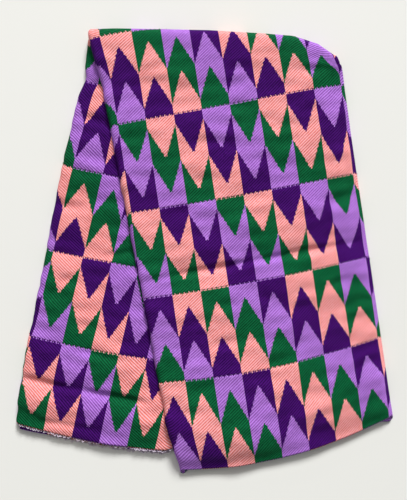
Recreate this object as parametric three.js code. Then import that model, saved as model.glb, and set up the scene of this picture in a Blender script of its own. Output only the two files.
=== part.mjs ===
// Kente cloth: ten hand-woven strips sewn side by side and folded into a stack of four layers,
// then folded once more over a slanting crease so one half lies across the other.
// Millimetres, Z up, the underside of the lowest layer on Z = 0.
import * as THREE from "three";

// The cloth before folding
const STRIP_COUNT = 10;
const STRIP_WIDTH = 101.6;
const SEAM_GAP = 0.9;
const BLOCK = 31.6;
const THICK = 1.2;
const LOWER_END = -232;
const UPPER_END = 736;

// The four layers of the folded stack, as mid heights above the stack's underside
const PITCH = 2;
const LAYER_BACK = THICK / 2;
const LAYER_IN_LOW = LAYER_BACK + PITCH;
const LAYER_IN_HIGH = LAYER_IN_LOW + PITCH;
const LAYER_FACE = LAYER_IN_HIGH + PITCH;
const STACK_MID = (LAYER_BACK + LAYER_FACE) / 2;

// The lengthwise folds along both sides of the stack
const LEFT_RADIUS = (LAYER_FACE - LAYER_BACK) / 2;
const LEFT_FOLD_AT = -12.5;
const LEFT_FOLD_SLOPE = 0.0375;
const RIGHT_RADIUS = 2.2;
const RIGHT_FOLD_AT = 8.2 * BLOCK;
const RIGHT_DIP = 12;
const INNER_RADIUS = 1;
const INNER_SETBACK = 4.2;
const STACK_WIDTH = 262;

// The slanting crease that folds the stack in two
const CREASE_X = -124.3;
const CREASE_Y = 240.7;
const CREASE_TILT = THREE.MathUtils.degToRad(10.8);
const CREASE_RADIUS = 2.5;
const CREASE_HEIGHT = CREASE_RADIUS + LAYER_BACK + LAYER_FACE;
const COS = Math.cos(CREASE_TILT);
const SIN = Math.sin(CREASE_TILT);

// Where each seam lies along the stack, measured from the crease, at its left, middle and right
const SEAMS = [
  { seam: -5, left: -449, middle: -452, right: -430 },
  { seam: -4, left: -349, middle: -350, right: -332 },
  { seam: -3, left: -250, middle: -250, right: -238 },
  { seam: -2, left: -153.5, middle: -155, right: -143 },
  { seam: -1, left: -57.5, middle: -57.5, right: -58 },
  { seam: 0, left: 19, middle: 17, right: 13 },
  { seam: 1, left: 119, middle: 120, right: 121 },
  { seam: 2, left: 218, middle: 222, right: 221 },
  { seam: 3, left: 315, middle: 319, right: 316 },
  { seam: 4, left: 410, middle: 417, right: 406 },
  { seam: 5, left: 512, middle: 520, right: 493 },
];
const FIRST_SEAM = SEAMS[0].seam;

// How far the covered layers end short of the face above them, or past it
const UPPER_SETBACK = 14;
const LOWER_PEEK = 13.5;
const TURN_RUN = 30;
const LAYER_RUN = 70;
const UPPER_LENGTH = 515;
const LOWER_SPREAD = 70;
const LOWER_TUCK = 0.07;
const TUCK_START = 165;
const TUCK_RUN = 50;

// Soft troughs (below zero) and ridges: half, distance along the stack, lean across it,
// height, half width, and the stretch across the stack they cover
const CREASES = [
  { half: 1, at: 294, lean: 0.02, rise: -0.24, width: 15, from: 10, to: 262 },
  { half: 1, at: 262, lean: 0.02, rise: 0.2, width: 26, from: 30, to: 250 },
  { half: 1, at: 338, lean: -0.03, rise: 0.26, width: 30, from: 0, to: 250 },
  { half: 1, at: 176, lean: 0.17, rise: -0.22, width: 12, from: 170, to: 235 },
  { half: 1, at: 150, lean: 0.06, rise: 0.25, width: 42, from: 20, to: 250 },
  { half: 1, at: 440, lean: 0.02, rise: 0.3, width: 38, from: 20, to: 240 },
  { half: -1, at: -400, lean: 0.01, rise: -0.25, width: 13, from: -10, to: 200 },
  { half: -1, at: -422, lean: 0.03, rise: 0.5, width: 17, from: -10, to: 170 },
  { half: -1, at: -372, lean: 0.02, rise: 0.5, width: 26, from: -10, to: 180 },
  { half: -1, at: -216, lean: 0.08, rise: -0.25, width: 10, from: 25, to: 110 },
  { half: -1, at: -244, lean: 0.06, rise: -0.2, width: 9, from: 50, to: 130 },
  { half: -1, at: -290, lean: -0.3, rise: 0.4, width: 24, from: -10, to: 60 },
  { half: -1, at: -130, lean: 0.05, rise: 0.4, width: 40, from: -10, to: 90 },
];
const CREASE_FADE = 24;

// How far the top edge sits above or below a straight crease, from left to right
const TOP_EDGE = [
  { across: -10, shift: -2 },
  { across: 28, shift: 2 },
  { across: 130, shift: 0 },
  { across: 188, shift: -3 },
  { across: 225, shift: -5.5 },
  { across: 252, shift: -9 },
  { across: 270, shift: -15 },
];
const TOP_EDGE_REACH = 60;

// Bulges of the left side and corners, as sideways pushes centred along the stack
const SIDE_PUSHES = [
  { at: 14, push: -5.5, width: 34, reach: 60 },
  { at: -52, push: 4.5, width: 13, reach: 45 },
  { at: -190, push: -4, width: 90, reach: 60 },
  { at: -370, push: -4.5, width: 100, reach: 60 },
  { at: 512, push: 4, width: 30, reach: 80 },
];

// The upper half settling on the lower half, and its edge dropping to the floor
const REST_HEIGHT = LAYER_FACE + LAYER_BACK + 0.8;
const CREASE_LIFT = 2 * CREASE_RADIUS + LAYER_FACE + LAYER_BACK - REST_HEIGHT;
const LIFT_FADE = 60;
const SIDE_DROP_START = -15;
const SIDE_DROP_RUN = 70;
const LOWER_HALF_SIDE = 267.3;
const END_DROP_START = 2;
const END_DROP_RUN = 40;
const LOWER_HALF_END = 446;
const DROOP_RUN = 22;
const DROOP_CLOSING = 0.95;
const EDGE_SAG = 1.4;
const COVER_START = 26;
const COVER_RUN = 18;

// Lines that divide a strip's width, closer where a fold crosses it
const PLAIN_LINES = [0, 0.25, 0.5, 0.75, 1];
const CLOSER_LINES = [
  { strip: 1, lines: [0, 0.12, 0.24, 0.35, 0.43, 0.51, 0.62, 0.8, 1] },
  { strip: 3, lines: [0, 0.16, 0.3, 0.5, 0.75, 1] },
  { strip: 8, lines: [0, 0.3, 0.55, 0.68, 0.8, 1] },
  { strip: 10, lines: [0, 0.25, 0.5, 0.6, 0.7, 0.8, 0.9, 1] },
];
const CREASE_STRIPS = [5, 6];
const TURNS_AT_CREASE = 7;
const LINES_BEYOND = 2;
const LEAST_LINE_GAP = 0.5;

// Lines that divide a strip's length: evenly across the stack in each layer, closer in the turns
const LAYER_SPACING = 26;
const LEFT_LINES = 6;
const RIGHT_LINES = 5;
const INNER_LINES = 4;
const END_MARGIN = 8;
const STEP = 0.1;

const smooth = (value) => {
  const v = Math.min(1, Math.max(0, value));
  return v * v * (3 - 2 * v);
};

const bump = (value) => Math.exp(-value * value);

// A height table read between its rows
function between(rows, key, name, value) {
  const last = rows.length - 1;
  const i = Math.max(1, Math.min(last, rows.findIndex((row) => row[key] > value)));
  const index = value >= rows[last][key] ? last : i;
  const a = rows[index - 1];
  const b = rows[index];
  const v = Math.min(1, Math.max(0, (value - a[key]) / (b[key] - a[key])));
  return a[name] + (b[name] - a[name]) * v;
}

// The cloth coordinate of the two lengthwise folds beside a point t across the strips
const leftFold = (t) => LEFT_FOLD_AT + LEFT_FOLD_SLOPE * t;
const rightFold = (t) => RIGHT_FOLD_AT + Math.min(0, LEFT_FOLD_SLOPE * t);

const LEFT_TAKE_UP = LEFT_RADIUS * (Math.PI / 2 - 1);
const LEFT_HALF_TURN = LEFT_RADIUS * Math.PI / 2;
const RIGHT_HALF_TURN = RIGHT_RADIUS * Math.PI / 2;

// Lengths along the cloth at which each layer and each turn begins
function stations(t) {
  const left = leftFold(t);
  const right = rightFold(t);
  const rightCentre = right - RIGHT_HALF_TURN - left - LEFT_TAKE_UP;
  const rightEnd = right + RIGHT_HALF_TURN;
  const innerStart = rightEnd + rightCentre - INNER_SETBACK - INNER_RADIUS;
  return { left, right, rightCentre, rightEnd, innerStart };
}

// Place across the stack and height in it, for a point s along the strip
function section(s, t) {
  const at = stations(t);
  const d = s - at.left;
  if (Math.abs(d) <= LEFT_HALF_TURN) {
    const turn = d / LEFT_RADIUS;
    return { x: LEFT_RADIUS * (1 - Math.cos(turn)), h: STACK_MID + LEFT_RADIUS * Math.sin(turn) };
  }
  if (d < 0) return { x: -d - LEFT_TAKE_UP, h: LAYER_BACK };
  const e = s - at.right;
  if (e < -RIGHT_HALF_TURN) return { x: d - LEFT_TAKE_UP, h: LAYER_FACE };
  if (e <= RIGHT_HALF_TURN) {
    const turn = e / RIGHT_RADIUS;
    const h = LAYER_FACE - RIGHT_RADIUS - RIGHT_RADIUS * Math.sin(turn);
    return { x: at.rightCentre + RIGHT_RADIUS * Math.cos(turn), h };
  }
  const back = s - at.rightEnd;
  const f = s - at.innerStart;
  if (f < 0) {
    const dipped = LAYER_FACE - 2 * RIGHT_RADIUS;
    const h = dipped + (LAYER_IN_HIGH - dipped) * smooth(back / RIGHT_DIP);
    return { x: at.rightCentre - back, h };
  }
  const innerX = INNER_SETBACK + INNER_RADIUS;
  const turned = Math.PI * INNER_RADIUS;
  if (f < turned) {
    const turn = f / INNER_RADIUS;
    return { x: innerX - INNER_RADIUS * Math.sin(turn), h: STACK_MID + INNER_RADIUS * Math.cos(turn) };
  }
  return { x: innerX + f - turned, h: LAYER_IN_LOW };
}

// Distance along the stack of a seam, bowed through its three measured places
function seamAt(row, x) {
  const u = Math.min(1, Math.max(0, x / STACK_WIDTH));
  const bow = 4 * u * (1 - u) * (row.middle - (row.left + row.right) / 2);
  return row.left + (row.right - row.left) * u + bow;
}

// Distance along the stack, from the crease, of a point t across the strips
function along(s, t, x) {
  const n = t / STRIP_WIDTH - FIRST_SEAM;
  const i = Math.min(SEAMS.length - 2, Math.max(0, Math.floor(n)));
  const y = seamAt(SEAMS[i], x) + (seamAt(SEAMS[i + 1], x) - seamAt(SEAMS[i], x)) * (n - i);
  const at = stations(t);
  const under = smooth((s - at.right) / LAYER_RUN);
  if (y > 0) {
    const back = smooth((at.left + LEFT_HALF_TURN - s) / TURN_RUN);
    return y - UPPER_SETBACK * Math.max(back, under) * smooth(y / UPPER_LENGTH);
  }
  const front = smooth((s - at.left + LEFT_HALF_TURN) / TURN_RUN);
  const inner = smooth((s - at.innerStart) / LAYER_RUN);
  const tuck = LOWER_TUCK * smooth((x - TUCK_START) / TUCK_RUN);
  return y * (1 - tuck) - LOWER_PEEK * (front - (under + inner) / 3) * smooth(-y / LOWER_SPREAD);
}

// Stack opening at a place: one where flat, less in a trough, more on a ridge
function opening(x, y) {
  let sum = 0;
  for (const c of CREASES) {
    if (c.half * y < 0) continue;
    const across = smooth((x - c.from) / CREASE_FADE + 0.5) * smooth((c.to - x) / CREASE_FADE + 0.5);
    sum += c.rise * across * bump((y - c.at - c.lean * x) / c.width);
  }
  return sum;
}

// A point of the folded stack (x across, y along, h up through it) in space
function fold(x, y, h) {
  const across = x * COS + y * SIN;
  const beyond = y * COS - x * SIN;
  const radius = CREASE_RADIUS + h;
  const quarter = radius * Math.PI / 2;
  let forward;
  let z;
  let level = y;
  if (Math.abs(beyond) <= quarter) {
    forward = radius * Math.cos(beyond / radius);
    z = CREASE_HEIGHT + radius * Math.sin(beyond / radius);
  } else if (beyond > 0) {
    forward = quarter - beyond;
    level = y + (LAYER_FACE - h) * Math.PI / (2 * COS);
    const side = across * COS - forward * SIN - LOWER_HALF_SIDE;
    const end = -across * SIN - forward * COS - LOWER_HALF_END;
    const held = (1 - smooth((side - SIDE_DROP_START) / SIDE_DROP_RUN))
      * (1 - smooth((end - END_DROP_START) / END_DROP_RUN));
    const near = 1 - smooth((beyond - quarter) / LIFT_FADE);
    const rest = REST_HEIGHT * held * (1 - near) + (REST_HEIGHT + CREASE_LIFT) * near;
    const open = 1 + opening(x, level) * (1 - near);
    const sag = EDGE_SAG * smooth((x - STACK_WIDTH + 2 * RIGHT_DIP) / RIGHT_DIP) * (1 - near);
    z = rest + LAYER_BACK + (h - LAYER_BACK) * open - sag * smooth((h - LAYER_BACK) / PITCH);
    const droop = smooth((level - seamAt(SEAMS[SEAMS.length - 1], x)) / DROOP_RUN + 1);
    z += (LAYER_BACK + (h - LAYER_BACK) * DROOP_CLOSING - z) * droop;
  } else {
    forward = beyond + quarter;
    level = y + (h - LAYER_BACK) * Math.PI / (2 * COS);
    const near = 1 - smooth((-quarter - beyond) / LIFT_FADE);
    const cover = across * COS + forward * SIN;
    const bare = 1 - smooth((cover + COVER_START) / COVER_RUN);
    z = LAYER_BACK + (LAYER_FACE - h) * (1 + opening(x, level) * (1 - near) * bare);
  }
  return { across, forward, z, beyond, level };
}

// A point of the cloth's middle surface in space: s along the strips, t across them
function place(s, t) {
  const { x, h } = section(s, t);
  const y = along(s, t, x);
  const p = fold(x, y, h);
  let push = 0;
  for (const side of SIDE_PUSHES) {
    push += side.push * bump((p.level - side.at) / side.width) * (1 - smooth(x / side.reach));
  }
  const edge = between(TOP_EDGE, "across", "shift", p.across);
  const shift = edge * (1 - smooth(Math.abs(p.beyond) / TOP_EDGE_REACH));
  return new THREE.Vector3(CREASE_X + p.across + push * COS, CREASE_Y + p.forward + shift, p.z);
}

// Even places across the stack between two ends, kept clear of both
function placesAcross(low, high) {
  const out = [];
  for (let x = LAYER_SPACING; x < high - END_MARGIN; x += LAYER_SPACING) {
    if (x > low + END_MARGIN) out.push(x);
  }
  return out;
}

// Lengths along a strip of its cross lines at t; the strip's middle decides how many there are
function crossLines(t, middle) {
  const at = stations(t);
  const mid = stations(middle);
  const innerX = INNER_SETBACK + INNER_RADIUS;
  const backEnd = mid.left - LOWER_END - LEFT_TAKE_UP;
  const inEnd = innerX + UPPER_END - mid.innerStart - Math.PI * INNER_RADIUS;
  const dipEnd = mid.rightCentre - RIGHT_DIP;
  const out = [LOWER_END];
  for (const x of placesAcross(LEFT_RADIUS, backEnd).reverse()) {
    out.push(at.left - LEFT_TAKE_UP - x);
  }
  for (let k = 0; k <= LEFT_LINES; k += 1) {
    out.push(at.left + LEFT_HALF_TURN * (2 * k / LEFT_LINES - 1));
  }
  for (const x of placesAcross(LEFT_RADIUS, dipEnd)) {
    out.push(at.left + LEFT_TAKE_UP + x);
  }
  out.push(at.left + LEFT_TAKE_UP + at.rightCentre - RIGHT_DIP);
  for (let k = 0; k <= RIGHT_LINES; k += 1) {
    out.push(at.right + RIGHT_HALF_TURN * (2 * k / RIGHT_LINES - 1));
  }
  out.push(at.rightEnd + RIGHT_DIP / 2, at.rightEnd + RIGHT_DIP);
  for (const x of placesAcross(innerX, dipEnd).reverse()) {
    out.push(at.rightEnd + at.rightCentre - x);
  }
  for (let k = 0; k <= INNER_LINES; k += 1) {
    out.push(at.innerStart + Math.PI * INNER_RADIUS * k / INNER_LINES);
  }
  for (const x of placesAcross(innerX, inEnd)) {
    out.push(at.innerStart + Math.PI * INNER_RADIUS + x - innerX);
  }
  out.push(UPPER_END);
  return out;
}

// Places across a strip of its lengthwise lines, gathered round the crease where it crosses
function lengthLines(strip, from, to, s) {
  if (!CREASE_STRIPS.includes(strip)) {
    const closer = CLOSER_LINES.find((row) => row.strip === strip);
    return (closer ? closer.lines : PLAIN_LINES).map((share) => from + (to - from) * share);
  }
  const { x, h } = section(s, (from + to) / 2);
  const low = seamAt(SEAMS[strip - 1], x);
  const high = seamAt(SEAMS[strip], x);
  const raw = [];
  for (let k = 0; k <= TURNS_AT_CREASE; k += 1) {
    const turn = Math.PI * (k / TURNS_AT_CREASE - 0.5);
    const y = ((CREASE_RADIUS + h) * turn + x * SIN) / COS;
    raw.push(from + (to - from) * (y - low) / (high - low));
  }
  const first = Math.max(from, raw[0]);
  const last = Math.min(to, raw[raw.length - 1]);
  const before = [];
  const after = [];
  for (let k = 0; k < LINES_BEYOND; k += 1) {
    before.push(from + (first - from) * k / LINES_BEYOND);
    after.push(last + (to - last) * (k + 1) / LINES_BEYOND);
  }
  const all = [...before, ...raw, ...after];
  const end = all.length - 1;
  return all.map((value, k) => {
    const low = from + k * LEAST_LINE_GAP;
    const high = to - (end - k) * LEAST_LINE_GAP;
    return Math.min(high, Math.max(low, value));
  });
}

// One strip as a closed sheet: both faces and the rim round its four edges
function stripGeometry(strip) {
  const seam = FIRST_SEAM + strip - 1;
  const from = seam * STRIP_WIDTH + SEAM_GAP / 2;
  const to = (seam + 1) * STRIP_WIDTH - SEAM_GAP / 2;
  const middle = (from + to) / 2;
  const centreLine = crossLines(middle, middle);
  const columns = centreLine.length;
  const positions = [];
  let rows = 0;
  for (let i = 0; i < columns; i += 1) {
    const lines = lengthLines(strip, from, to, centreLine[i]);
    rows = lines.length;
    for (const [j, t] of lines.entries()) {
      const s = crossLines(t, middle)[i];
      const centre = place(s, t);
      const edge = (j === rows - 1) - (j === 0);
      const facing = t + edge * SEAM_GAP / 2;
      const alongStrip = place(s + STEP, facing).sub(place(s - STEP, facing));
      const acrossStrip = place(s, facing + STEP).sub(place(s, facing - STEP));
      const out = acrossStrip.cross(alongStrip).setLength(THICK / 2);
      positions.push(...centre.clone().add(out).toArray(), ...centre.clone().sub(out).toArray());
    }
  }
  const indices = [];
  const vertex = (i, j, side) => 2 * (i * rows + j) + side;
  const quad = (a, b, c, d) => indices.push(a, b, c, a, c, d);
  for (let i = 0; i + 1 < columns; i += 1) {
    for (let j = 0; j + 1 < rows; j += 1) {
      quad(vertex(i, j, 0), vertex(i, j + 1, 0), vertex(i + 1, j + 1, 0), vertex(i + 1, j, 0));
      quad(vertex(i, j, 1), vertex(i + 1, j, 1), vertex(i + 1, j + 1, 1), vertex(i, j + 1, 1));
    }
    const top = rows - 1;
    quad(vertex(i, 0, 0), vertex(i + 1, 0, 0), vertex(i + 1, 0, 1), vertex(i, 0, 1));
    quad(vertex(i + 1, top, 0), vertex(i, top, 0), vertex(i, top, 1), vertex(i + 1, top, 1));
  }
  for (let j = 0; j + 1 < rows; j += 1) {
    const side = columns - 1;
    quad(vertex(0, j + 1, 0), vertex(0, j, 0), vertex(0, j, 1), vertex(0, j + 1, 1));
    quad(vertex(side, j, 0), vertex(side, j + 1, 0), vertex(side, j + 1, 1), vertex(side, j, 1));
  }
  const geometry = new THREE.BufferGeometry();
  geometry.setAttribute("position", new THREE.Float32BufferAttribute(positions, 3));
  geometry.setIndex(indices);
  geometry.computeVertexNormals();
  return geometry;
}

const STRIP_COLOURS = [0x4b1a86, 0x14613f, 0xa978d6, 0xe98f88];
const cloth = new THREE.Group();
cloth.name = "kente_cloth";
for (let strip = 1; strip <= STRIP_COUNT; strip += 1) {
  const color = STRIP_COLOURS[strip % STRIP_COLOURS.length];
  const yarn = new THREE.MeshStandardMaterial({ color, roughness: 0.85, metalness: 0 });
  const mesh = new THREE.Mesh(stripGeometry(strip), yarn);
  mesh.name = "strip_" + String(strip).padStart(2, "0");
  cloth.add(mesh);
}

export default cloth;
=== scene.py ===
# %% [markdown]
# # A folded kente cloth
# Ten hand-woven strips are sewn side by side into one cloth. The cloth is folded lengthwise
# into four layers, then folded over once more across a slanting crease. This lesson bends a
# flat grid through those folds by arithmetic, because a cloth this tidy keeps its fold lines,
# and a simulation would lose the woven pattern's exact place. The pattern is then a shader
# that reads each point's place on the flat cloth.

# %% Load the frame
import math

import bpy
import numpy as np
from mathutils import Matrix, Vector


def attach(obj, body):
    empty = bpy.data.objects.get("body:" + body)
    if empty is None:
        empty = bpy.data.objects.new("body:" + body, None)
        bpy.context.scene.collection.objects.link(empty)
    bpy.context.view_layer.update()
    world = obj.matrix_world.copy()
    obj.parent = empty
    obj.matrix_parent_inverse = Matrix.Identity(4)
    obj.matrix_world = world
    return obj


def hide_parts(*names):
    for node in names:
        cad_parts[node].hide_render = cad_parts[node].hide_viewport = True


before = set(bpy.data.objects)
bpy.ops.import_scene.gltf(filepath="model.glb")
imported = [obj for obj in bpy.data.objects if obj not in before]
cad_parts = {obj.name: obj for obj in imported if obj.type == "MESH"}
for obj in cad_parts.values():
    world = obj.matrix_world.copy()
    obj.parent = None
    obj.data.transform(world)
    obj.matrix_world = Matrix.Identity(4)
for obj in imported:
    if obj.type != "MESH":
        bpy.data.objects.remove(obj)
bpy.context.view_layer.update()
print("strips in the frame:", len(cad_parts))

# %% [markdown]
# ## The cloth's own sizes
# Every length is in millimetres on the real cloth, and turned to metres at the very end.
# A strip is as wide as a hand loom allows, and its blocks of pattern repeat along it.

# %% Sizes of the cloth and its stack
STRIPS = 10
STRIP_WIDTH = 101.6
SEAM_GAP = 0.06
BLOCK = 31.6
THICK = 1.2
LOWER_END, UPPER_END = -232.0, 736.0
PITCH = 2.0
BACK = THICK / 2
INNER_HIGH, FACE = BACK + 2 * PITCH, BACK + 3 * PITCH
STACK_MID = (BACK + FACE) / 2
STACK_WIDTH = 262.0
print("cloth measures", UPPER_END - LOWER_END, "by", STRIPS * STRIP_WIDTH, "mm")

# %% Sizes of the lengthwise folds and the slanting crease
LEFT_RADIUS, LEFT_AT, LEFT_SLOPE = (FACE - BACK) / 2, -12.5, 0.0375
RIGHT_RADIUS, RIGHT_AT, RIGHT_DIP = 2.2, 8.2 * BLOCK, 12.0
INNER_RADIUS, INNER_X = 1.0, 5.2
LEFT_HALF, RIGHT_HALF = LEFT_RADIUS * math.pi / 2, RIGHT_RADIUS * math.pi / 2
LEFT_TAKE = LEFT_HALF - LEFT_RADIUS
CREASE_X, CREASE_Y, CREASE_TILT, CREASE_RADIUS = -124.3, 240.7, math.radians(10.8), 2.5
CREASE_HEIGHT = CREASE_RADIUS + BACK + FACE
COS, SIN = math.cos(CREASE_TILT), math.sin(CREASE_TILT)
print("crease leans", round(math.degrees(CREASE_TILT), 1), "degrees")

# %% [markdown]
# ## Where the seams lie
# Cloth folded by hand is never even: here a strip is laid tall, there it is pushed together.
# One short table gives each seam's distance from the crease at the left, middle and right.

# %% Seam places, creases and edges
SEAM_ROWS = {
    "seam": [-5, -4, -3, -2, -1, 0, 1, 2, 3, 4, 5],
    "left": [-449, -349, -250, -153.5, -57.5, 19, 119, 218, 315, 410, 512],
    "middle": [-452, -350, -250, -155, -57.5, 17, 120, 222, 319, 417, 520],
    "right": [-430, -332, -238, -143, -58, 13, 121, 221, 316, 406, 493],
}
SEAM = {name: np.array(values, float) for name, values in SEAM_ROWS.items()}
FIRST_SEAM = SEAM_ROWS["seam"][0]
UPPER_SETBACK, UPPER_LENGTH = 14.0, 515.0
LOWER_PEEK, LOWER_SPREAD = 13.5, 70.0
LOWER_TUCK, TUCK_START, TUCK_RUN = 0.07, 165.0, 50.0
TURN_RUN, LAYER_RUN = 30.0, 70.0
print("rows laid from", SEAM["left"][0], "to", SEAM["middle"][-1], "mm along the stack")

# %% [markdown]
# ## Soft troughs and ridges
# The main creases of the photographed cloth, listed one by one: which half it is on, how far
# along the stack, how it leans, how much it opens or closes the stack, and where it fades out.

# %% Table of the main creases
CREASES = [
    # half, at, lean, rise, width, from, to
    (1, 294, 0.02, -0.24, 15, 10, 262),
    (1, 262, 0.02, 0.20, 26, 30, 250),
    (1, 338, -0.03, 0.26, 30, 0, 250),
    (1, 176, 0.17, -0.22, 12, 170, 235),
    (1, 150, 0.06, 0.25, 42, 20, 250),
    (1, 440, 0.02, 0.30, 38, 20, 240),
    (-1, -400, 0.01, -0.25, 13, -10, 200),
    (-1, -422, 0.03, 0.50, 17, -10, 170),
    (-1, -372, 0.02, 0.50, 26, -10, 180),
    (-1, -216, 0.08, -0.25, 10, 25, 110),
    (-1, -244, 0.06, -0.20, 9, 50, 130),
    (-1, -290, -0.30, 0.40, 24, -10, 60),
    (-1, -130, 0.05, 0.40, 40, -10, 90),
]
CREASE_FADE = 24.0
TOP_EDGE_ACROSS = [-10, 28, 130, 188, 225, 252, 270]
TOP_EDGE_SHIFT = [-3, -1.5, -3.5, -7, -10, -19, -32]
TOP_EDGE_REACH = 60.0
SIDE_PUSHES = [(14, -5.5, 34, 60), (-52, 4.5, 13, 45), (-190, -4, 90, 60), (-370, -4.5, 100, 60),
               (512, 4, 30, 80)]
print(len(CREASES), "main creases")

# %% How the upper half rests and drops
REST_HEIGHT = FACE + BACK + 0.8
CREASE_LIFT = 2 * CREASE_RADIUS + FACE + BACK - REST_HEIGHT
LIFT_FADE = 60.0
SIDE_DROP_START, SIDE_DROP_RUN, LOWER_HALF_SIDE = -15.0, 70.0, 267.3
END_DROP_START, END_DROP_RUN, LOWER_HALF_END = 2.0, 40.0, 446.0
DROOP_RUN, DROOP_CLOSING = 22.0, 0.95
EDGE_SAG = 1.4
COVER_START, COVER_RUN = 26.0, 18.0
print("upper half rests", round(REST_HEIGHT, 1), "mm above the floor")

# %% [markdown]
# ## The fold map
# Three small steps take a point of the flat cloth into space. The section says how far across
# the stack and how high in it the point lies. The seam table says how far along. The last step
# bends the whole stack round the slanting crease. Numpy does it for all points at once.


# %% Step and bump helpers
def smooth(value):
    v = np.clip(value, 0, 1)
    return v * v * (3 - 2 * v)


def bump(value):
    return np.exp(-value * value)


print("half way up a smooth step:", float(smooth(0.5)))


# %% The section through the lengthwise folds
def fold_places(t):
    left = LEFT_AT + LEFT_SLOPE * t
    right = RIGHT_AT + np.minimum(0, LEFT_SLOPE * t)
    right_centre = right - RIGHT_HALF - left - LEFT_TAKE
    right_end = right + RIGHT_HALF
    inner_start = right_end + right_centre - INNER_X
    return left, right, right_centre, right_end, inner_start


def section(s, t):
    left, right, right_centre, right_end, inner_start = fold_places(t)
    d, e, f = s - left, s - right, s - inner_start
    turn = np.clip(d, -LEFT_HALF, LEFT_HALF) / LEFT_RADIUS
    x = LEFT_RADIUS * (1 - np.cos(turn)) + np.maximum(np.abs(d) - LEFT_HALF, 0)
    h = STACK_MID + LEFT_RADIUS * np.sin(turn)
    turn = np.clip(e, -RIGHT_HALF, RIGHT_HALF) / RIGHT_RADIUS
    in_turn = e > -RIGHT_HALF
    x = np.where(in_turn, right_centre + RIGHT_RADIUS * np.cos(turn), x)
    h = np.where(in_turn, FACE - RIGHT_RADIUS - RIGHT_RADIUS * np.sin(turn), h)
    back = s - right_end
    dipped = FACE - 2 * RIGHT_RADIUS
    x = np.where(back > 0, right_centre - back, x)
    h = np.where(back > 0, dipped + (INNER_HIGH - dipped) * smooth(back / RIGHT_DIP), h)
    turned = math.pi * INNER_RADIUS
    turn = np.clip(f, 0, turned) / INNER_RADIUS
    x = np.where(f > 0, INNER_X - INNER_RADIUS * np.sin(turn) + np.maximum(f - turned, 0), x)
    h = np.where(f > 0, STACK_MID + INNER_RADIUS * np.cos(turn), h)
    return x, h


print("a face point at s = 100 mm lies at", [round(float(v), 1) for v in section(100.0, 0.0)])


# %% The distance along the stack
def seam_at(row, x):
    u = np.clip(x / STACK_WIDTH, 0, 1)
    low, mid, high = SEAM["left"][row], SEAM["middle"][row], SEAM["right"][row]
    return low + (high - low) * u + 4 * u * (1 - u) * (mid - (low + high) / 2)


def along(s, t, x):
    n = t / STRIP_WIDTH - FIRST_SEAM
    row = np.clip(np.floor(n).astype(int), 0, STRIPS - 1)
    y = seam_at(row, x) + (seam_at(row + 1, x) - seam_at(row, x)) * (n - row)
    left, right, _, _, inner_start = fold_places(t)
    under = smooth((s - right) / LAYER_RUN)
    hidden = np.maximum(smooth((left + LEFT_HALF - s) / TURN_RUN), under)
    upper = y - UPPER_SETBACK * hidden * smooth(y / UPPER_LENGTH)
    front = smooth((s - left + LEFT_HALF) / TURN_RUN)
    share = front - (under + smooth((s - inner_start) / LAYER_RUN)) / 3
    tucked = y * (1 - LOWER_TUCK * smooth((x - TUCK_START) / TUCK_RUN))
    return np.where(y > 0, upper, tucked - LOWER_PEEK * share * smooth(-y / LOWER_SPREAD))


print("seam 1 lies", float(seam_at(6, 0.0)), "mm along the left side")


# %% The relief of the main creases
def opening(x, y, half):
    total = np.zeros_like(x)
    for side, at, lean, rise, width, start, stop in CREASES:
        if side == half:
            fade = smooth((x - start) / CREASE_FADE + 0.5) * smooth((stop - x) / CREASE_FADE + 0.5)
            total = total + rise * fade * bump((y - at - lean * x) / width)
    return total


print("deepest trough closes the stack to", round(1 + float(opening(np.array(100.0), 296.0, 1)), 2))


# %% The bend round the slanting crease
def fold(x, y, h):
    across, beyond = x * COS + y * SIN, y * COS - x * SIN
    radius = CREASE_RADIUS + h
    quarter = radius * math.pi / 2
    angle = np.clip(beyond, -quarter, quarter) / radius
    forward = radius * np.cos(angle)
    z = CREASE_HEIGHT + radius * np.sin(angle)
    # the upper half
    up = beyond > quarter
    forward = np.where(up, quarter - beyond, forward)
    level_up = y + (FACE - h) * math.pi / (2 * COS)
    side = across * COS - forward * SIN - LOWER_HALF_SIDE
    end = -across * SIN - forward * COS - LOWER_HALF_END
    held = (1 - smooth((side - SIDE_DROP_START) / SIDE_DROP_RUN)) * (
        1 - smooth((end - END_DROP_START) / END_DROP_RUN))
    near = 1 - smooth((beyond - quarter) / LIFT_FADE)
    rest = REST_HEIGHT * held * (1 - near) + (REST_HEIGHT + CREASE_LIFT) * near
    opened = 1 + opening(x, level_up, 1) * (1 - near)
    sag = EDGE_SAG * smooth((x - STACK_WIDTH + 2 * RIGHT_DIP) / RIGHT_DIP) * (1 - near)
    z_up = rest + BACK + (h - BACK) * opened - sag * smooth((h - BACK) / PITCH)
    droop = smooth((level_up - seam_at(STRIPS, x)) / DROOP_RUN + 1)
    z_up = z_up + (BACK + (h - BACK) * DROOP_CLOSING - z_up) * droop
    z = np.where(up, z_up, z)
    # the lower half
    low = beyond < -quarter
    forward = np.where(low, beyond + quarter, forward)
    level_low = y + (h - BACK) * math.pi / (2 * COS)
    near = 1 - smooth((-quarter - beyond) / LIFT_FADE)
    bare = 1 - smooth((across * COS + forward * SIN + COVER_START) / COVER_RUN)
    z_low = BACK + (FACE - h) * (1 + opening(x, level_low, -1) * (1 - near) * bare)
    z = np.where(low, z_low, z)
    level = np.where(up, level_up, np.where(low, level_low, y))
    return across, forward, z, beyond, level


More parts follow.
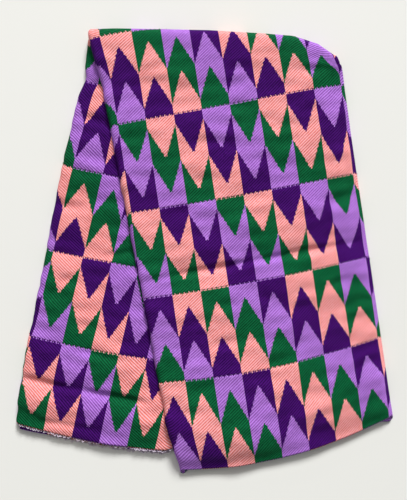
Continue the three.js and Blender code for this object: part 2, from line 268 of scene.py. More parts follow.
def place(s, t):
    x, h = section(s, t)
    y = along(s, t, x)
    across, forward, z, beyond, level = fold(x, y, h)
    push = np.zeros_like(x)
    for at, amount, width, reach in SIDE_PUSHES:
        push = push + amount * bump((level - at) / width) * (1 - smooth(x / reach))
    edge = np.interp(across, TOP_EDGE_ACROSS, TOP_EDGE_SHIFT)
    shift = edge * (1 - smooth(np.abs(beyond) / TOP_EDGE_REACH))
    return np.stack([CREASE_X + across + push * COS, CREASE_Y + forward + shift, z], axis=-1)


crest_point = place(np.array(20.0), np.array(0.0))
print("crest above the left corner:", [round(float(v), 1) for v in crest_point])

# %% [markdown]
# ## Woven strips
# Each strip becomes one closed sheet: an outer face, an inner face and a rim. The grid is fine
# where the cloth shows and coarser in the hidden layers. The pattern needs to know where each
# point lies on the flat cloth, so a UV layer keeps that place, in blocks and in strips.

# %% Small ripples of hand-woven cloth
rng = np.random.default_rng(11)
WAVES = 26
SHORTEST_WAVE, LONGEST_WAVE, HEADING_SPREAD = 13, 70, 0.55
wave_length = rng.uniform(SHORTEST_WAVE, LONGEST_WAVE, WAVES)
wave_heading = rng.normal(math.pi / 2, HEADING_SPREAD, WAVES)
wave_start = rng.uniform(0, 2 * math.pi, WAVES)


def ripple(s, t):
    total = np.zeros_like(s)
    for length, heading, start in zip(wave_length, wave_heading, wave_start):
        distance = s * math.cos(heading) + t * math.sin(heading)
        total += np.sin(2 * math.pi * distance / length + start)
    return total / math.sqrt(WAVES / 2)


print("ripple at the first seam:", round(float(ripple(np.array(0.0), np.array(0.0))), 2))

# %% [markdown]
# ## Wrinkles where the cloth was handled
# The photographed cloth has one long wrinkle across the upper half, one across the lower half and
# many short ones at the folded edges. Each is a line on the floor plan with a depth and a width.
# A ridge is a wrinkle of negative depth. A cloth simulation could not be told where to crease.
# The visible faces stand a few millimetres above the folded sheets, so a wrinkle has depth to
# use. It stops just below the sheet's own height, or the layer beneath would show through.

# %% Table of the wrinkles
WRINKLES = [
    # half, from x, from y, to x, to y, depth, width
    (1, -68, -36, 173, 10, 3.9, 4.2),
    (1, 1, 118, 35, 121, 2.2, 5),
    (1, 138, 44, 172, 68, 2.5, 6),
    (1, 142, -39, 170, -28, 2.2, 5),
    (1, 172, -52, 190, -58, 1.8, 4),
    (1, 162, -115, 204, -103, 2.2, 6),
    (1, 167, -138, 196, -118, 1.8, 6),
    (1, 11, -110, 54, -93, 1.7, 7),
    (1, 76, -132, 106, -114, 1.7, 7),
    (1, -20, -160, 15, -151, 1.5, 7),
    (1, 53, -147, 77, -138, 1.4, 6),
    (1, 28, 164, 56, 152, 1.3, 8),
    (1, 58, -48, 80, -56, 1.4, 6),
    (1, -106, 221, -92, 211, 1.8, 6),
    (1, -80, 178, -60, 193, 1.3, 6),
    (1, -49, -186, 14, -208, -2.1, 11),
    (1, 14, -208, 88, -200, -2.1, 11),
    (1, 88, -200, 162, -157, -2.1, 11),
    (1, 162, -157, 206, -142, -1.7, 10),
    (-1, -112, -8, -74, 0, 2.5, 4),
    (-1, -174, 0, -117, -6, 1.3, 4),
    (-1, -178, -58, -148, -27, 2, 4.5),
    (-1, -146, -112, -96, -125, 2.1, 4),
    (-1, -197, -115, -172, -126, 2, 7),
    (-1, -204, -144, -146, -157, 3.7, 4.6),
    (-1, -146, -157, -60, -173, 3.7, 4.6),
    (-1, -211, -175, -186, -190, 2.5, 6),
    (-1, -186, -193, -120, -202, 2.2, 4),
    (-1, -136, 149, -99, 141, 3.1, 6),
    (-1, -113, 164, -100, 141, 2, 6),
    (-1, -166, 53, -150, 47, 1.4, 4),
]
print(len(WRINKLES), "wrinkles")


# %% How far the visible faces stand out
FACE_RISE, RIPPLE_HEIGHT, LOWEST_LIFT = 3.6, 0.65, -0.2
PUCKER_DEPTH, PUCKER_WIDTH, PUCKER_WAVE = 0.16, 3.5, 4.1
LEFT_RUN, RIGHT_MARGIN, HALF_RUN, LOWER_REACH = 12, 10, 15, 20
HEM_SHARE, HEM_RUN = 0.35, 30
CREST_SHARE, CREST_RUN = 0.1, 60
TAPER_SHARE, TAPER_RATE = 0.3, 4
print("faces stand", FACE_RISE, "mm above the sheets")


# %% Depth of the wrinkles at a point
def wrinkle(x, y, half):
    total = np.zeros_like(x)
    for side, x0, y0, x1, y1, depth, width in WRINKLES:
        if side == half:
            dx, dy = x1 - x0, y1 - y0
            share = np.clip(((x - x0) * dx + (y - y0) * dy) / (dx * dx + dy * dy), 0, 1)
            off = np.hypot(x - x0 - share * dx, y - y0 - share * dy)
            ends = smooth(TAPER_RATE * np.minimum(share, 1 - share))
            taper = TAPER_SHARE + (1 - TAPER_SHARE) * ends
            total += depth * taper * bump(off / width)
    return total


deepest = wrinkle(np.array(52.0), np.array(-13.0), 1)
print("depth of the long wrinkle half way:", round(float(deepest), 1), "mm")


# %% Lift of the visible faces
def lift(s, t, x, y):
    left, right, _, _, _ = fold_places(t)
    stack_x = section(s, t)[0]
    beyond = along(s, t, stack_x) * COS - stack_x * SIN
    before_turn = 1 - smooth((s - right + RIGHT_MARGIN) / RIGHT_MARGIN)
    on_face = smooth((s - left) / LEFT_RUN + 0.5) * before_turn
    upper = on_face * smooth(beyond / HALF_RUN)
    lower = (1 - on_face) * smooth(-beyond / HALF_RUN) * (s < left + LOWER_REACH)
    from_hem = STRIPS / 2 * STRIP_WIDTH - np.abs(t)
    hem = HEM_SHARE + (1 - HEM_SHARE) * smooth(from_hem / HEM_RUN)
    to_seam = np.abs(t / STRIP_WIDTH - np.round(t / STRIP_WIDTH)) * STRIP_WIDTH
    pucker = PUCKER_DEPTH * (1 + 0.5 * np.sin(s / PUCKER_WAVE)) * bump(to_seam / PUCKER_WIDTH)
    crest = CREST_SHARE + (1 - CREST_SHARE) * smooth(np.abs(beyond) / CREST_RUN)
    height = crest * (FACE_RISE * hem + RIPPLE_HEIGHT * ripple(s, t)) - pucker
    on_upper = np.maximum(height - wrinkle(x, y, 1), LOWEST_LIFT)
    on_lower = np.maximum(height - wrinkle(x, y, -1), LOWEST_LIFT)
    return upper * on_upper + lower * on_lower


print("faces never sink more than", -LOWEST_LIFT, "mm")

# %% A point on one side of the sheet
SLOPE_STEP = 0.15


def surface(s, t, side):
    centre = place(s, t)
    ds = place(s + SLOPE_STEP, t) - place(s - SLOPE_STEP, t)
    dt = place(s, t + SLOPE_STEP) - place(s, t - SLOPE_STEP)
    out = np.cross(dt, ds)
    out /= np.linalg.norm(out, axis=-1, keepdims=True)
    raised = side * THICK / 2 + lift(s, t, centre[..., 0], centre[..., 1])
    return centre + out * raised[..., None]


print("outer face at the middle of the top:", surface(np.array(120.0), np.array(250.0), 1).round(1))


# %% Cross lines along a strip, fine where seen
FINE, COARSE = ((3.2, 11.0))
LEFT_STEPS, RIGHT_STEPS, DIP_STEPS, INNER_STEPS = 10, 8, 4, 6


def cross_lines(t, middle):
    left, right, _, right_end, inner_start = fold_places(t)
    m_left, m_right, _, m_end, m_inner = fold_places(middle)
    turned = math.pi * INNER_RADIUS
    spans = [
        (LOWER_END, left - LEFT_HALF, int((m_left - LOWER_END) / FINE)),
        (left - LEFT_HALF, left + LEFT_HALF, LEFT_STEPS),
        (left + LEFT_HALF, right - RIGHT_HALF, int((m_right - m_left) / FINE)),
        (right - RIGHT_HALF, right_end, RIGHT_STEPS),
        (right_end, right_end + RIGHT_DIP, DIP_STEPS),
        (right_end + RIGHT_DIP, inner_start, int((m_inner - m_end) / COARSE)),
        (inner_start, inner_start + turned, INNER_STEPS),
        (inner_start + turned, UPPER_END, int((UPPER_END - m_inner) / COARSE)),
    ]
    lines = [np.full_like(t, LOWER_END)]
    for start, stop, count in spans:
        lines += [start + (stop - start) * (k + 1) / count for k in range(count)]
    return np.array(lines)


print("cross lines on a strip:", len(cross_lines(np.array(0.0), 0.0)))


# %% Faces of a closed sheet
def sheet_faces(index):
    a, b, c, d = index[:-1, :-1], index[:-1, 1:], index[1:, 1:], index[1:, :-1]
    faces = [np.stack([a[..., 0], b[..., 0], c[..., 0], d[..., 0]], -1).reshape(-1, 4),
             np.stack([a[..., 1], d[..., 1], c[..., 1], b[..., 1]], -1).reshape(-1, 4)]
    rims = [(index[:, 0], False), (index[:, -1], True), (index[0], True), (index[-1], False)]
    for edge, flip in rims:
        rim = np.stack([edge[:-1, 0], edge[1:, 0], edge[1:, 1], edge[:-1, 1]], -1)
        faces.append(rim[:, ::-1] if flip else rim)
    return np.concatenate(faces)


print("faces of the smallest sheet:", len(sheet_faces(np.arange(8).reshape(2, 2, 2))))

# %% Build one strip
QUICK_ROWS, ROWS, CREASE_ROWS = 24, 46, 64


def rows_across(seam):
    crosses_crease = seam in (-1, 0)
    return CREASE_ROWS if crosses_crease else ROWS


def make_strip(number):
    seam = FIRST_SEAM + number - 1
    start, stop = seam * STRIP_WIDTH + SEAM_GAP / 2, (seam + 1) * STRIP_WIDTH - SEAM_GAP / 2
    rows = rows_across(seam)
    t = np.linspace(start, stop, rows)
    s = cross_lines(t, (start + stop) / 2)
    t = np.broadcast_to(t, s.shape).astype(float)
    points = np.stack([surface(s, t, 1), surface(s, t, -1)], axis=2)
    columns = s.shape[0]
    faces = sheet_faces(np.arange(columns * rows * 2).reshape(columns, rows, 2))
    mesh = bpy.data.meshes.new("woven_strip_%02d" % number)
    mesh.from_pydata((points.reshape(-1, 3) / 1000).tolist(), [], faces.tolist())
    flat = np.stack([s / BLOCK, t / STRIP_WIDTH], -1)
    flat = np.repeat(flat[:, :, None, :], 2, axis=2).reshape(-1, 2)
    layer = mesh.uv_layers.new(name="flat_cloth")
    layer.data.foreach_set("uv", flat[faces.reshape(-1)].reshape(-1).astype(np.float32))
    mesh.shade_smooth()
    mesh.validate()
    piece = bpy.data.objects.new("woven_strip_%02d" % number, mesh)
    bpy.context.collection.objects.link(piece)
    return piece


strips = [make_strip(number) for number in range(1, STRIPS + 1)]
print("triangles in the strips:", sum(len(p.data.polygons) for p in strips) * 2)

# %% [markdown]
# ## The woven pattern
# The saw-toothed blocks are inlaid with extra weft, so every slanting edge is a flight of tiny
# steps. An image would do, but arithmetic in shader nodes stays sharp at any distance. Each block
# is one of two cells, point up or point down, with three zones, and the four yarn colours follow
# each other in a fixed order from block to block.

# %% Helpers that join shader nodes
def add_math(tree, operation, first, second=None, third=None):
    node = tree.nodes.new("ShaderNodeMath")
    node.operation = operation
    for socket, value in zip(node.inputs, (first, second, third)):
        if isinstance(value, (int, float)):
            socket.default_value = value
        elif value is not None:
            tree.links.new(value, socket)
    return node.outputs[0]


def new_group(name, inputs, outputs):
    tree = bpy.data.node_groups.new(name, "ShaderNodeTree")
    for label, kind in inputs:
        tree.interface.new_socket(label, in_out="INPUT", socket_type=kind)
    for label, kind in outputs:
        tree.interface.new_socket(label, in_out="OUTPUT", socket_type=kind)
    return tree, tree.nodes.new("NodeGroupInput"), tree.nodes.new("NodeGroupOutput")


print("helpers ready")

# %% Sizes of the pattern, as shares of a block or a strip
TEETH_TURN, TOOTH_HEIGHT = 76.0, 0.007
STEPS, BLUNT_POINT = 27, 0.05
FIRST_RISE, FIRST_START = 0.355, 0.14
SECOND_RISE, SECOND_START = 0.35, 0.54
print("steps across a block:", STEPS)

# %% Block and strip numbers of a point
pattern, p_in, p_out = new_group(
    "kente_blocks", [("Flat cloth", "NodeSocketVector")],
    [("Colour", "NodeSocketColor"), ("Groove shade", "NodeSocketColor")])
parts = pattern.nodes.new("ShaderNodeSeparateXYZ")
pattern.links.new(p_in.outputs[0], parts.inputs[0])
blocks, strips_up = parts.outputs[0], parts.outputs[1]
teeth = add_math(pattern, "SINE", add_math(pattern, "MULTIPLY", blocks, TEETH_TURN))
tooth = add_math(pattern, "SIGN", teeth)
toothed = add_math(pattern, "MULTIPLY_ADD", tooth, TOOTH_HEIGHT, strips_up)
strip_floor = add_math(pattern, "FLOOR", toothed)
strip_share = add_math(pattern, "FRACT", toothed)
kind = add_math(pattern, "FLOORED_MODULO", add_math(pattern, "ADD", strip_floor, 1.0), 4.0)
column = add_math(pattern, "ADD", add_math(pattern, "FLOOR", blocks), 1.0)
print("cell kinds repeat every four strips")

# %% Zones of a cell, with stepped slanting edges
share = add_math(pattern, "FRACT", blocks)
step_number = add_math(pattern, "FLOOR", add_math(pattern, "MULTIPLY", share, STEPS))
stepped = add_math(pattern, "ADD", step_number, 0.5)
from_middle = add_math(pattern, "MULTIPLY_ADD", stepped, 2 / STEPS, -1.0)
slope = add_math(pattern, "MAXIMUM", add_math(pattern, "ABSOLUTE", from_middle), BLUNT_POINT)
point_down = add_math(pattern, "GREATER_THAN", kind, 1.5)
turned_over = add_math(pattern, "MULTIPLY_ADD", strip_share, -2.0, 1.0)
depth = add_math(pattern, "MULTIPLY_ADD", point_down, turned_over, strip_share)
first_edge = add_math(pattern, "MULTIPLY_ADD", slope, FIRST_RISE, FIRST_START)
second_edge = add_math(pattern, "MULTIPLY_ADD", slope, SECOND_RISE, SECOND_START)
zone = add_math(pattern, "ADD", add_math(pattern, "GREATER_THAN", depth, first_edge),
                add_math(pattern, "GREATER_THAN", depth, second_edge))
print("three zones in each cell")

# %% Which yarn each zone takes
up_start = add_math(pattern, "ADD", add_math(pattern, "GREATER_THAN", kind, 0.5), -2.0)
up_yarn = add_math(pattern, "ADD", add_math(pattern, "SUBTRACT", column, zone), up_start)
down_start = add_math(pattern, "SUBTRACT", 4.0, add_math(pattern, "GREATER_THAN", kind, 2.5))
down_yarn = add_math(pattern, "SUBTRACT", down_start, add_math(pattern, "ADD", column, zone))
swap = add_math(pattern, "SUBTRACT", down_yarn, up_yarn)
order = add_math(pattern, "MULTIPLY_ADD", point_down, swap, up_yarn)
yarn = add_math(pattern, "FLOORED_MODULO", order, 4.0)
print("yarns follow each other in fours")

# %% The four yarn colours, and darker copies of them as painted shade in the grooves
# The groove colours are painted shade: darker copies of the yarn colours stand for the shade
# between the ribs, and the salmon's is also redder.
SALMON, GREEN = (0.93, 0.42, 0.44, 1), (0.003, 0.125, 0.042, 1)
LAVENDER, PURPLE = (0.46, 0.205, 0.70, 1), (0.062, 0.004, 0.15, 1)
SALMON_GROOVE_SHADE, GREEN_GROOVE_SHADE = (0.72, 0.17, 0.14, 1), (0.001, 0.05, 0.016, 1)
LAVENDER_GROOVE_SHADE, PURPLE_GROOVE_SHADE = (0.25, 0.085, 0.40, 1), (0.020, 0.001, 0.06, 1)
YARNS = (SALMON, GREEN, LAVENDER, PURPLE)
GROOVE_SHADES = (SALMON_GROOVE_SHADE, GREEN_GROOVE_SHADE, LAVENDER_GROOVE_SHADE, PURPLE_GROOVE_SHADE)
place_on_ramp = add_math(pattern, "MULTIPLY_ADD", yarn, 0.25, 0.1)
for output, colours in zip(p_out.inputs, (YARNS, GROOVE_SHADES)):
    ramp = pattern.nodes.new("ShaderNodeValToRGB")
    ramp.color_ramp.interpolation = "CONSTANT"
    while len(ramp.color_ramp.elements) < 4:
        ramp.color_ramp.elements.new(0.5)
    for element, position, colour in zip(ramp.color_ramp.elements, (0, 0.25, 0.5, 0.75), colours):
        element.position, element.color = position, colour
    pattern.links.new(place_on_ramp, ramp.inputs[0])
    pattern.links.new(ramp.outputs[0], output)
print("yarns: salmon, green, lavender, purple")

# %% [markdown]
# ## The weave
# Close up the cloth shows slanting ribs a few millimetres apart, crossed by fine weft threads.
# They are too small to model, so one group makes a height from the flat place. The height feeds a
# bump, and mixes in darker groove colours: painted shade in the grooves between the ribs. The ribs
# of the lower five strips lean the other way, as if sewn with their other side up, so the distance
# across the strips is taken without its sign. A small offset gives those strips more of the
# painted groove shade, so they come out darker.

# %% Sizes of the weave
RIB_PITCH, RIB_TURN, THREAD_PITCH, WARP_STRETCH = 2.45, math.radians(54), 1.2, 1.4
RIB_SHARE, MEAN_HEIGHT, THREAD_SHARE, CHANCE_SHARE, SIDE_SHARE = 1.15, 0.3, 0.45, 0.5, 0.16
print("ribs every", RIB_PITCH, "mm, threads every", THREAD_PITCH, "mm")

# %% Ribs and threads as a height
weave, w_in, w_out = new_group(
    "woven_ribs", [("Flat cloth", "NodeSocketVector")], [("Height", "NodeSocketFloat")])
parts = weave.nodes.new("ShaderNodeSeparateXYZ")
weave.links.new(w_in.outputs[0], parts.inputs[0])
s_mm = add_math(weave, "MULTIPLY", parts.outputs[0], BLOCK)
t_mm = add_math(weave, "MULTIPLY", add_math(weave, "ABSOLUTE", parts.outputs[1]), STRIP_WIDTH)
rise = add_math(weave, "MULTIPLY", t_mm, math.sin(RIB_TURN))
slant = add_math(weave, "MULTIPLY_ADD", s_mm, math.cos(RIB_TURN), rise)
rib = add_math(weave, "SINE", add_math(weave, "MULTIPLY", slant, 2 * math.pi / RIB_PITCH))
thread = add_math(weave, "SINE", add_math(weave, "MULTIPLY", t_mm, 2 * math.pi / THREAD_PITCH))
warp_turn = 2 * math.pi / (THREAD_PITCH * WARP_STRETCH)
warp = add_math(weave, "SINE", add_math(weave, "MULTIPLY", s_mm, warp_turn))
both = add_math(weave, "MULTIPLY", thread, warp)
crossing = weave.nodes.new("ShaderNodeCombineXYZ")
for socket, distance in zip(crossing.inputs, (s_mm, t_mm)):
    crossings = add_math(weave, "DIVIDE", distance, 2 * THREAD_PITCH)
    weave.links.new(add_math(weave, "FLOOR", crossings), socket)
chance = weave.nodes.new("ShaderNodeTexWhiteNoise")
weave.links.new(crossing.outputs[0], chance.inputs["Vector"])
height = add_math(weave, "MULTIPLY_ADD", rib, RIB_SHARE, MEAN_HEIGHT)
height = add_math(weave, "MULTIPLY_ADD", both, THREAD_SHARE, height)
height = add_math(weave, "MULTIPLY_ADD", chance.outputs["Value"], CHANCE_SHARE, height)
# A small offset gives the lower five strips more of the painted groove shade, so they come out
# darker.
strip_half = add_math(weave, "SIGN", parts.outputs[1])
height = add_math(weave, "MULTIPLY_ADD", strip_half, SIDE_SHARE, height)
weave.links.new(height, w_out.inputs[0])
print("weave group has", len(weave.nodes), "nodes")

# %% Finish of the yarn
MOTTLE_SCALE, MOTTLE_DETAIL, MOTTLE_SHARE = 330.0, 3.0, 2.2
RELIEF_STRENGTH, RELIEF_DEPTH = 0.55, 0.0004
YARN_ROUGHNESS, YARN_SHINE = 0.9, 0.08
print("yarn is matt, roughness", YARN_ROUGHNESS)

# %% Woven yarn material
woven = bpy.data.materials.new("woven_yarn")
woven.use_nodes = True
tree = woven.node_tree
shader = tree.nodes["Principled BSDF"]
uv = tree.nodes.new("ShaderNodeUVMap")
uv.uv_map = "flat_cloth"
blocks_node, ribs_node = tree.nodes.new("ShaderNodeGroup"), tree.nodes.new("ShaderNodeGroup")
blocks_node.node_tree, ribs_node.node_tree = pattern, weave
tree.links.new(uv.outputs[0], blocks_node.inputs[0])
tree.links.new(uv.outputs[0], ribs_node.inputs[0])
coords = tree.nodes.new("ShaderNodeTexCoord")
mottle = tree.nodes.new("ShaderNodeTexNoise")
mottle.inputs["Scale"].default_value = MOTTLE_SCALE
mottle.inputs["Detail"].default_value = MOTTLE_DETAIL
tree.links.new(coords.outputs["Object"], mottle.inputs["Vector"])
speckle = add_math(tree, "MULTIPLY_ADD", mottle.outputs["Fac"], MOTTLE_SHARE, -MOTTLE_SHARE / 2)
lit_share = add_math(tree, "ADD", ribs_node.outputs[0], speckle)
lit_share.node.use_clamp = True
# The weave height and a random speckle mix the painted groove shade into the yarn colour.
groove_shade_mix = tree.nodes.new("ShaderNodeMix")
groove_shade_mix.data_type = "RGBA"
mix_inputs = [socket for socket in groove_shade_mix.inputs if socket.enabled]
tree.links.new(lit_share, mix_inputs[0])
tree.links.new(blocks_node.outputs["Groove shade"], mix_inputs[1])
tree.links.new(blocks_node.outputs["Colour"], mix_inputs[2])
mixed = next(socket for socket in groove_shade_mix.outputs if socket.enabled)
tree.links.new(mixed, shader.inputs["Base Color"])
relief = tree.nodes.new("ShaderNodeBump")
relief.inputs["Strength"].default_value = RELIEF_STRENGTH
relief.inputs["Distance"].default_value = RELIEF_DEPTH
tree.links.new(ribs_node.outputs[0], relief.inputs["Height"])
tree.links.new(relief.outputs[0], shader.inputs["Normal"])
shader.inputs["Roughness"].default_value = YARN_ROUGHNESS
shader.inputs["Specular IOR Level"].default_value = YARN_SHINE
print("woven yarn material ready")

# %% [markdown]
# ## Seam stitches and selvage loops
# The strips are joined edge to edge by a small whip stitch that pulls a tooth of yarn from either
# side. At the lower hem the weft turns back in small loops. Both are one bent piece of thread
# repeated along a line, so a single Geometry Nodes tree makes both, with sizes as its inputs.
# Modelling each by hand would take hundreds of copies, and a texture would have no height.

# %% A tree that sets a bent thread on every point
def add_node(tree, kind, settings=None, **values):
    node = tree.nodes.new(kind)
    for key, value in (settings or {}).items():
        setattr(node, key, value)
    for key, value in values.items():
        socket = node.inputs[key.replace("_", " ")]
        if isinstance(value, bpy.types.NodeSocket):
            tree.links.new(value, socket)
        else:
            socket.default_value = value
    return node


threads = bpy.data.node_groups.new("bent_threads", "GeometryNodeTree")
threads.interface.new_socket("Geometry", in_out="INPUT", socket_type="NodeSocketGeometry")
for label in ("Loop width", "Loop height", "Thread radius", "Unevenness"):
    threads.interface.new_socket(label, in_out="INPUT", socket_type="NodeSocketFloat")
threads.interface.new_socket("Thread", in_out="INPUT", socket_type="NodeSocketMaterial")
threads.interface.new_socket("Geometry", in_out="OUTPUT", socket_type="NodeSocketGeometry")
entry = add_node(threads, "NodeGroupInput").outputs
print("inputs:", [socket.name for socket in entry if socket.name])

# %% The bent thread
ARCH_STEPS, RING_SIDES, SIZE_SEED = 4, 5, 7
half_width = add_math(threads, "MULTIPLY", entry["Loop width"], 0.5)
other_half = add_math(threads, "MULTIPLY", half_width, -1.0)
twice_height = add_math(threads, "MULTIPLY", entry["Loop height"], 2.0)
foot_a = add_node(threads, "ShaderNodeCombineXYZ", X=other_half)
foot_b = add_node(threads, "ShaderNodeCombineXYZ", X=half_width)
crown = add_node(threads, "ShaderNodeCombineXYZ", Z=twice_height)
arch = add_node(threads, "GeometryNodeCurveQuadraticBezier", Resolution=ARCH_STEPS,
                Start=foot_a.outputs[0], Middle=crown.outputs[0], End=foot_b.outputs[0])
ring = add_node(threads, "GeometryNodeCurvePrimitiveCircle", Resolution=RING_SIDES,
                Radius=entry["Thread radius"])
tube = add_node(threads, "GeometryNodeCurveToMesh", Curve=arch.outputs[0],
                Profile_Curve=ring.outputs[0])
tube.inputs["Fill Caps"].default_value = True
print("a thread has", RING_SIDES, "sides")

# %% Its turn, size and place on each point
VECTOR = {"data_type": "FLOAT_VECTOR"}
along_axis = add_node(threads, "GeometryNodeInputNamedAttribute", VECTOR, Name="across")
out_axis = add_node(threads, "GeometryNodeInputNamedAttribute", VECTOR, Name="outward")
turn = add_node(threads, "FunctionNodeAxesToRotation",
                {"primary_axis": "Z", "secondary_axis": "X"})
threads.links.new(out_axis.outputs[0], turn.inputs[0])
threads.links.new(along_axis.outputs[0], turn.inputs[1])
uneven = add_node(threads, "FunctionNodeRandomValue", {"data_type": "FLOAT"}, Seed=SIZE_SEED)
smallest, largest = (
    socket for socket in uneven.inputs if socket.enabled and socket.name in ("Min", "Max"))
threads.links.new(add_math(threads, "SUBTRACT", 1.0, entry["Unevenness"]), smallest)
threads.links.new(add_math(threads, "ADD", 1.0, entry["Unevenness"]), largest)
random_size = next(socket for socket in uneven.outputs if socket.enabled)
copies = add_node(threads, "GeometryNodeInstanceOnPoints", Points=entry["Geometry"],
                  Instance=tube.outputs[0], Rotation=turn.outputs[0], Scale=random_size)
real = add_node(threads, "GeometryNodeRealizeInstances", Geometry=copies.outputs[0])
dressed = add_node(threads, "GeometryNodeSetMaterial", Geometry=real.outputs[0],
                   Material=entry["Thread"])
threads.links.new(dressed.outputs[0], threads.nodes.new("NodeGroupOutput").inputs[0])
print("tree has", len(threads.nodes), "nodes")


# %% Points along a line on the cloth
STITCH_STEP = 0.4


def points_on(s, t, tilt):
    centre = surface(s, t, 1)
    ds = surface(s + STITCH_STEP, t, 1) - surface(s - STITCH_STEP, t, 1)
    dt = place(s, t + STITCH_STEP) - place(s, t - STITCH_STEP)
    ds, dt = (v / np.linalg.norm(v, axis=-1, keepdims=True) for v in (ds, dt))
    return centre, dt + ds * tilt[:, None], np.cross(dt, ds)


print("helper for points ready")


# %% A mesh of threads from a line of points
def thread_mesh(name, points, fields, sizes, material):
    mesh = bpy.data.meshes.new(name)
    mesh.from_pydata((points / 1000).tolist(), [], [])
    for label, vectors in fields.items():
        data = mesh.attributes.new(label, "FLOAT_VECTOR", "POINT").data
        data.foreach_set("vector", vectors.reshape(-1).astype(np.float32))
    piece = bpy.data.objects.new(name, mesh)
    bpy.context.collection.objects.link(piece)
    modifier = piece.modifiers.new("threads", "NODES")
    modifier.node_group = threads
    values = dict(sizes, Thread=material)
    for item in threads.interface.items_tree:
        if item.in_out == "INPUT" and item.name in values:
            modifier[item.identifier] = values[item.name]
    evaluated = piece.evaluated_get(bpy.context.evaluated_depsgraph_get())
    plain = bpy.data.meshes.new_from_object(evaluated)
    piece.modifiers.remove(modifier)
    piece.data = plain
    plain.shade_smooth()
    return piece


print("helper for threads ready")

# %% Thread materials
seam_yarn = bpy.data.materials.new("seam_yarn")
seam_yarn.use_nodes = True
flat_place = seam_yarn.node_tree.nodes.new("ShaderNodeAttribute")
flat_place.attribute_name = "flat_place"
seam_blocks = seam_yarn.node_tree.nodes.new("ShaderNodeGroup")
seam_blocks.node_tree = pattern
seam_shader = seam_yarn.node_tree.nodes["Principled BSDF"]
seam_yarn.node_tree.links.new(flat_place.outputs["Vector"], seam_blocks.inputs[0])
seam_yarn.node_tree.links.new(seam_blocks.outputs[0], seam_shader.inputs["Base Color"])
edge_yarn = bpy.data.materials.new("selvage_yarn")
edge_yarn.use_nodes = True
edge_shader = edge_yarn.node_tree.nodes["Principled BSDF"]
PALE_LILAC = (0.62, 0.54, 0.64, 1)
edge_shader.inputs["Base Color"].default_value = PALE_LILAC
for yarn_shader in (seam_shader, edge_shader):
    yarn_shader.inputs["Roughness"].default_value = YARN_ROUGHNESS
    yarn_shader.inputs["Specular IOR Level"].default_value = YARN_SHINE
print("seam stitches take the colour of the cloth beside them")

# %% Stitches along the nine seams
STITCH_PITCH, STITCH_TILT, STITCH_REACH, STITCH_MARGIN = 2.6, 0.2, 3.0, 3
STITCH_SIZES = {"Loop width": 0.0022, "Loop height": 0.00012, "Thread radius": 0.0004,
                "Unevenness": 0.3}
stitch_s, stitch_t = [], []
for seam in range(FIRST_SEAM + 1, STRIPS + FIRST_SEAM):
    left, right, _, _, _ = (float(v) for v in fold_places(seam * STRIP_WIDTH))
    below_crease = (LOWER_END + STITCH_MARGIN, left + STITCH_MARGIN + 1)
    above_crease = (left - STITCH_MARGIN, right + STITCH_MARGIN)
    start, stop = below_crease if seam < 0 else above_crease
    stitch_s.append(np.arange(start, stop, STITCH_PITCH))
    stitch_t.append(np.full(len(stitch_s[-1]), seam * STRIP_WIDTH))
stitch_s, stitch_t = np.concatenate(stitch_s), np.concatenate(stitch_t)
other_side = (-1.0) ** np.arange(len(stitch_s))
points, across, outward = points_on(stitch_s, stitch_t, STITCH_TILT * other_side)
colour_from = np.stack([stitch_s / BLOCK, (stitch_t + STITCH_REACH * other_side) / STRIP_WIDTH,
                        np.zeros(len(stitch_s))], -1)
seam_stitches = thread_mesh(
    "seam_stitches", points, {"across": across, "outward": outward, "flat_place": colour_from},
    STITCH_SIZES, seam_yarn)
print(len(stitch_s), "stitches,", len(seam_stitches.data.polygons), "faces")

# %% Loops of weft along the lower hem
LOOP_PITCH = 1.5
BACK_LOOPS, FACE_LOOPS = (LOWER_END + 20, -30.0), (10.0, 150.0)
OUT_SPREAD, SIDE_SPREAD = 0.35, 0.25
LOOP_SIZES = {"Loop width": 0.0022, "Loop height": 0.002, "Thread radius": 0.0003,
              "Unevenness": 0.6}
loop_s = np.concatenate([np.arange(*layer, LOOP_PITCH) for layer in (BACK_LOOPS, FACE_LOOPS)])
hem_t = np.full(len(loop_s), FIRST_SEAM * STRIP_WIDTH + SEAM_GAP)
centre = place(loop_s, hem_t)
towards = centre - place(loop_s, hem_t + 1.0)
towards /= np.linalg.norm(towards, axis=-1, keepdims=True)
towards += rng.normal(0, OUT_SPREAD, towards.shape)
towards[:, 2] = np.abs(towards[:, 2])
sideways = place(loop_s + 0.5, hem_t) - place(loop_s - 0.5, hem_t)
sideways += rng.normal(0, SIDE_SPREAD, sideways.shape)
hem_loops = thread_mesh(
    "hem_loops", centre, {"across": sideways, "outward": towards}, LOOP_SIZES, edge_yarn)
print(len(loop_s), "hem loops,", len(hem_loops.data.polygons), "faces")

# %% Strips take their place in the frame
for number, piece in enumerate(strips, start=1):
    piece.data.materials.append(woven)
    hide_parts("strip_%02d" % number)
    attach(piece, "root")
for piece in (seam_stitches, hem_loops):
    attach(piece, "root")
print("strips and threads ride on the body")

# %% [markdown]
# ## Floor, light and camera
# The cloth lies on a pale floor under soft daylight from above the fold, and the camera looks
# straight down. A sun of some width stands for the window and gives the soft shadow at the lower
# edges. A small round lamp adds a little warmth, and the pale sky fills the rest.

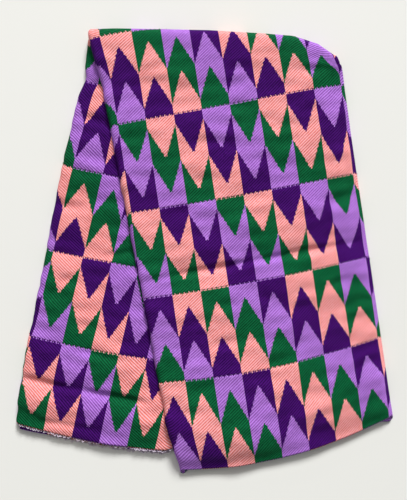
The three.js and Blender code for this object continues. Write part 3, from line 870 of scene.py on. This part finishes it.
# %% Pale floor
FLOOR_HALF, FLOOR_DROP, FLOOR_ROUGHNESS = 1.6, 0.0003, 0.7
PALE = (0.74, 0.74, 0.705, 1)
corners = [(x * FLOOR_HALF, y * FLOOR_HALF, 0) for x, y in ((-1, -1), (1, -1), (1, 1), (-1, 1))]
floor_mesh = bpy.data.meshes.new("floor")
floor_mesh.from_pydata(corners, [], [(0, 1, 2, 3)])
floor = bpy.data.objects.new("floor", floor_mesh)
floor.location.z = -FLOOR_DROP
bpy.context.collection.objects.link(floor)
pale = bpy.data.materials.new("pale_floor")
pale.use_nodes = True
floor_shader = pale.node_tree.nodes["Principled BSDF"]
floor_shader.inputs["Base Color"].default_value = PALE
floor_shader.inputs["Roughness"].default_value = FLOOR_ROUGHNESS
floor_mesh.materials.append(pale)
print("floor is", 2 * FLOOR_HALF, "m wide")

# %% Soft daylight
SKY_STRENGTH = 0.29
WINDOW_AT, WINDOW_POWER, WINDOW_WIDTH = (0.45, 1.9, 1.3), 4.2, math.radians(18)
LAMP_AT, LAMP_POWER, LAMP_SIZE = (-0.2, 0.9, 1.4), 4, 0.8
WHITE, WARM_WHITE = (1.0, 1.0, 1.0), (1.0, 0.97, 0.92)
world = bpy.data.worlds.new("daylight")
world.use_nodes = True
world.node_tree.nodes["Background"].inputs[0].default_value = (1, 1, 1, 1)
world.node_tree.nodes["Background"].inputs[1].default_value = SKY_STRENGTH
bpy.context.scene.world = world


def add_light(name, kind, place_at, power, colour, **sizes):
    data = bpy.data.lights.new(name, kind)
    data.energy, data.color = power, colour
    for key, size in sizes.items():
        setattr(data, key, size)
    light = bpy.data.objects.new(name, data)
    light.location = place_at
    light.rotation_euler = (-Vector(place_at)).to_track_quat("-Z", "Y").to_euler()
    bpy.context.collection.objects.link(light)


add_light("window_light", "SUN", WINDOW_AT, WINDOW_POWER, WHITE, angle=WINDOW_WIDTH)
add_light("room_light", "AREA", LAMP_AT, LAMP_POWER, WARM_WHITE, shape="DISK", size=LAMP_SIZE)
print("a window light and a room light")

# %% Camera above the cloth
CAMERA_HEIGHT, VIEW_HEIGHT, SENSOR, NEAREST = 0.75, 0.57, 36, 0.01
camera_data = bpy.data.cameras.new("camera")
camera_data.sensor_width = SENSOR
camera_data.lens = SENSOR * CAMERA_HEIGHT / VIEW_HEIGHT
camera_data.clip_start = NEAREST
camera = bpy.data.objects.new("camera", camera_data)
camera.location = (0, 0, CAMERA_HEIGHT)
bpy.context.collection.objects.link(camera)
bpy.context.scene.camera = camera
bpy.context.scene.view_settings.view_transform = "Standard"
print("lens", round(camera_data.lens, 1), "mm")
